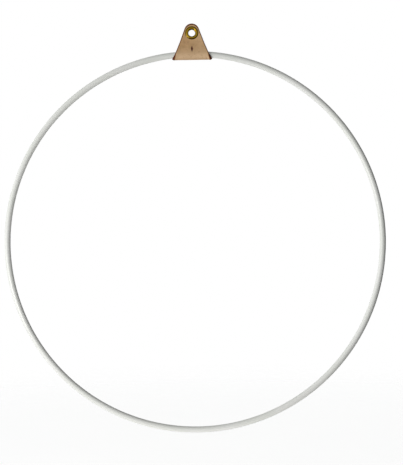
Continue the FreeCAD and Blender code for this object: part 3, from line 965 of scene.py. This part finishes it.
dress(strap, leather_material())
dress(
    eyelet,
    brass_material(
        "eyelet_aged_brass",
        dark=srgb(166, 131, 28),
        light=srgb(182, 147, 42),
        grime_and_dark_reflection=srgb(100, 80, 26),
        bore=srgb(162, 122, 12),
    ),
)
dress(
    washer,
    brass_material(
        "washer_aged_brass",
        dark=srgb(166, 133, 44),
        light=srgb(180, 147, 56),
        grime_and_dark_reflection=srgb(96, 80, 36),
        bore=srgb(166, 133, 44),
    ),
)
dress(tube, hoop_material())
dress(nodes["joint_plug"], plug_material())
dress(nodes["joint_rivets"], rivet_material())


def close_splits(obj):
    """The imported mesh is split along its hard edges: closes the splits, keeps them sharp."""
    data = obj.data
    for poly in data.polygons:
        poly.use_smooth = True
    faces_on = [0] * len(data.edges)
    for loop in data.loops:
        faces_on[loop.edge_index] += 1
    for edge in data.edges:
        if faces_on[edge.index] == 1:
            edge.use_edge_sharp = True
    obj.modifiers.new("close_splits", "WELD").merge_threshold = 1e-6


close_splits(nodes["joint_plug"])
close_splits(nodes["joint_rivets"])

for piece, body, node, slot in (
    (strap, "hanger", "leather_hanger", "tan_leather"),
    (eyelet, "hanger", "eyelet", "eyelet_brass"),
    (washer, "hanger", "eyelet_washer", "washer_brass"),
    (tube, "hoop", "hoop_tube", "hoop_plastic"),
):
    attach(piece, body)
    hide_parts(node)

# ---------------------------------------------------------------- floor (metres)
FLOOR_R = 6.0
FLOOR_DROP = 0.10  # below the product
FLOOR_SEEN = 0.74  # brightness added for the camera
FLOOR_FILL = (1.05, 0.03)  # soft light given off on the left and on the right


def floor_material():
    """Pale paper that fades out far away and is clear from below."""
    mat = new_material("pale_floor")
    metres = (1, 1, 1)
    geometry = mat.tree.nodes.new("ShaderNodeNewGeometry")
    length = mat.node("ShaderNodeVectorMath", Vector=mat.coords(metres))
    length.operation = "LENGTH"
    far = mat.ramp(length.outputs["Value"], over=(0.9, 2.6))
    hidden = mat.math("MAXIMUM", far, geometry.outputs["Backfacing"])
    paper = mat.noise(mat.coords(metres), scale=3.0, detail=4.0)
    white = mat.mix(paper, srgb(190, 190, 189), srgb(196, 196, 195))
    # darker to soft and mirrored light than to the camera
    rays = mat.tree.nodes.new("ShaderNodeLightPath").outputs
    dim = mat.scaled(rays["Is Diffuse Ray"], by=-0.78, plus=1.0)
    dim = mat.scaled(rays["Is Glossy Ray"], by=-0.85, plus=dim)
    grey = mat.node("ShaderNodeCombineColor", Red=dim, Green=dim, Blue=dim)
    dimmed = mat.mix(1.0, white, grey.outputs[0], mode="MULTIPLY")
    diffuse = mat.node("ShaderNodeBsdfDiffuse", Color=dimmed)
    across = mat.split(mat.coords(metres))
    fill = mat.ramp(across["X"], over=(0.27, 0.59), to=FLOOR_FILL)
    fill = mat.times(fill, by=rays["Is Diffuse Ray"])
    shine = mat.scaled(rays["Is Camera Ray"], by=FLOOR_SEEN, plus=fill)
    glow = mat.node("ShaderNodeEmission", Color=(1, 1, 1, 1), Strength=shine)
    lit = mat.tree.nodes.new("ShaderNodeAddShader")
    mat.put(lit.inputs[0], diffuse.outputs[0])
    mat.put(lit.inputs[1], glow.outputs[0])
    clear = mat.tree.nodes.new("ShaderNodeBsdfTransparent")
    mat.put(mat.out.inputs["Surface"], mat.mix_shaders(hidden, lit, clear))
    return mat.owner


def build_floor():
    mesh = bpy.data.meshes.new("floor")
    bm = bmesh.new()
    bmesh.ops.create_circle(bm, cap_ends=True, segments=96, radius=FLOOR_R)
    bm.to_mesh(mesh)
    bm.free()
    floor = bpy.data.objects.new("floor", mesh)
    floor.location = (0, 0, cad_lo.z - FLOOR_DROP)
    bpy.context.scene.collection.objects.link(floor)
    mesh.materials.append(floor_material())


build_floor()

# ---------------------------------------------------------------- light (metres)
scene = bpy.context.scene


def build_world():
    world = bpy.data.worlds.new("studio")
    scene.world = world
    sky = Nodes(world, "ShaderNodeOutputWorld")
    axes = sky.split(sky.tree.nodes.new("ShaderNodeTexCoord").outputs["Generated"])
    x, y, z = axes["X"], axes["Y"], axes["Z"]
    # soft light: bright to the left, a little more in front, dark on the right-hand side
    level = sky.ramp(x, over=(-0.50, 0.10), to=(1.28, 0.05))
    level = sky.times(level, by=sky.scaled(z, by=-0.20, plus=1.0))
    level = sky.times(level, by=sky.ramp(y, over=(-0.4, 0.5), to=(1.0, 0.78)))
    facing = sky.math("MAXIMUM", sky.times(y, by=-1.0), 0.0)
    level = sky.scaled(sky.math("POWER", facing, 3.0), by=0.26, plus=level)
    # mirror-like reflections see a dimmer room, darkest behind, above and below
    front = sky.ramp(y, over=(-0.2, -0.95), to=(0.20, 0.58))
    glossy = sky.math("ADD", front, sky.ramp(x, over=(-0.3, -0.9), to=(0.0, 0.30)))
    glossy = sky.times(glossy, by=sky.ramp(y, over=(-0.05, 0.40), to=(1.0, 0.42)))
    glossy = sky.times(glossy, by=sky.ramp(z, over=(0.25, 0.9), to=(1.0, 0.55)))
    glossy = sky.times(glossy, by=sky.ramp(z, over=(-0.35, -0.75), to=(1.0, 0.22)))
    rays = sky.tree.nodes.new("ShaderNodeLightPath").outputs
    shiny = rays["Is Glossy Ray"]
    level = sky.times(level, by=sky.math("SUBTRACT", 1.0, shiny))
    level = sky.math("ADD", level, sky.times(glossy, by=shiny))
    soft = sky.node("ShaderNodeBackground", Strength=level, Color=(0.985, 1.0, 1.005, 1))
    # the camera itself sees plain white
    plain = sky.node("ShaderNodeBackground", Color=(1, 1, 1, 1), Strength=1.0)
    mixed = sky.mix_shaders(rays["Is Camera Ray"], soft, plain)
    sky.put(sky.out.inputs["Surface"], mixed)


def area_light(name, place, aim, size, power, color):
    data = bpy.data.lights.new(name, "AREA")
    data.shape = "RECTANGLE"
    data.size, data.size_y = size
    data.energy = power
    data.color = color
    obj = bpy.data.objects.new(name, data)
    obj.location = place
    obj.rotation_mode = "QUATERNION"
    obj.rotation_quaternion = (Vector(place) - Vector(aim)).to_track_quat("Z", "Y")
    scene.collection.objects.link(obj)
    return obj


build_world()
area_light(
    "key",
    place=(-2.0, -1.35, -0.80),
    aim=(0.0, 0.0, RING_Z * MM),
    size=(0.4, 0.4),
    power=10.0,
    color=(1.0, 0.995, 0.98),
)
glint = area_light(
    "glint",
    place=(-1.25, -1.20, -0.97),
    aim=(0, 0, 0),
    size=(0.46, 0.34),
    power=16.0,
    color=(1.0, 0.99, 0.97),
)
glint.visible_diffuse = False

# ---------------------------------------------------------------- camera
# Looks straight at the hoop's plane, turned a degree about its line of sight.
LENS = 100.0
SENSOR = 36.0
VIEW_SPAN = 1070.43  # seen at the hoop's plane along the view's longer side
AIM_RIGHT, AIM_UP = 14.5026, 21.5237  # aim from the hoop's centre, along the turned view
ROLL_ANGLE = math.radians(-0.95)


def build_camera():
    data = bpy.data.cameras.new("camera")
    data.lens = LENS
    data.sensor_width = SENSOR
    data.clip_end = 50.0
    camera = bpy.data.objects.new("camera", data)
    right = Vector((math.cos(ROLL_ANGLE), 0, math.sin(ROLL_ANGLE)))
    up = Vector((-math.sin(ROLL_ANGLE), 0, math.cos(ROLL_ANGLE)))
    aim = Vector((0, 0, RING_Z)) + right * AIM_RIGHT + up * AIM_UP
    camera.location = (aim.x * MM, -VIEW_SPAN * LENS / SENSOR * MM, aim.z * MM)
    camera.rotation_mode = "QUATERNION"
    basis = Matrix((right, up, right.cross(up))).transposed()
    camera.rotation_quaternion = basis.to_quaternion()
    scene.collection.objects.link(camera)
    scene.camera = camera


build_camera()
scene.view_settings.view_transform = "Standard"
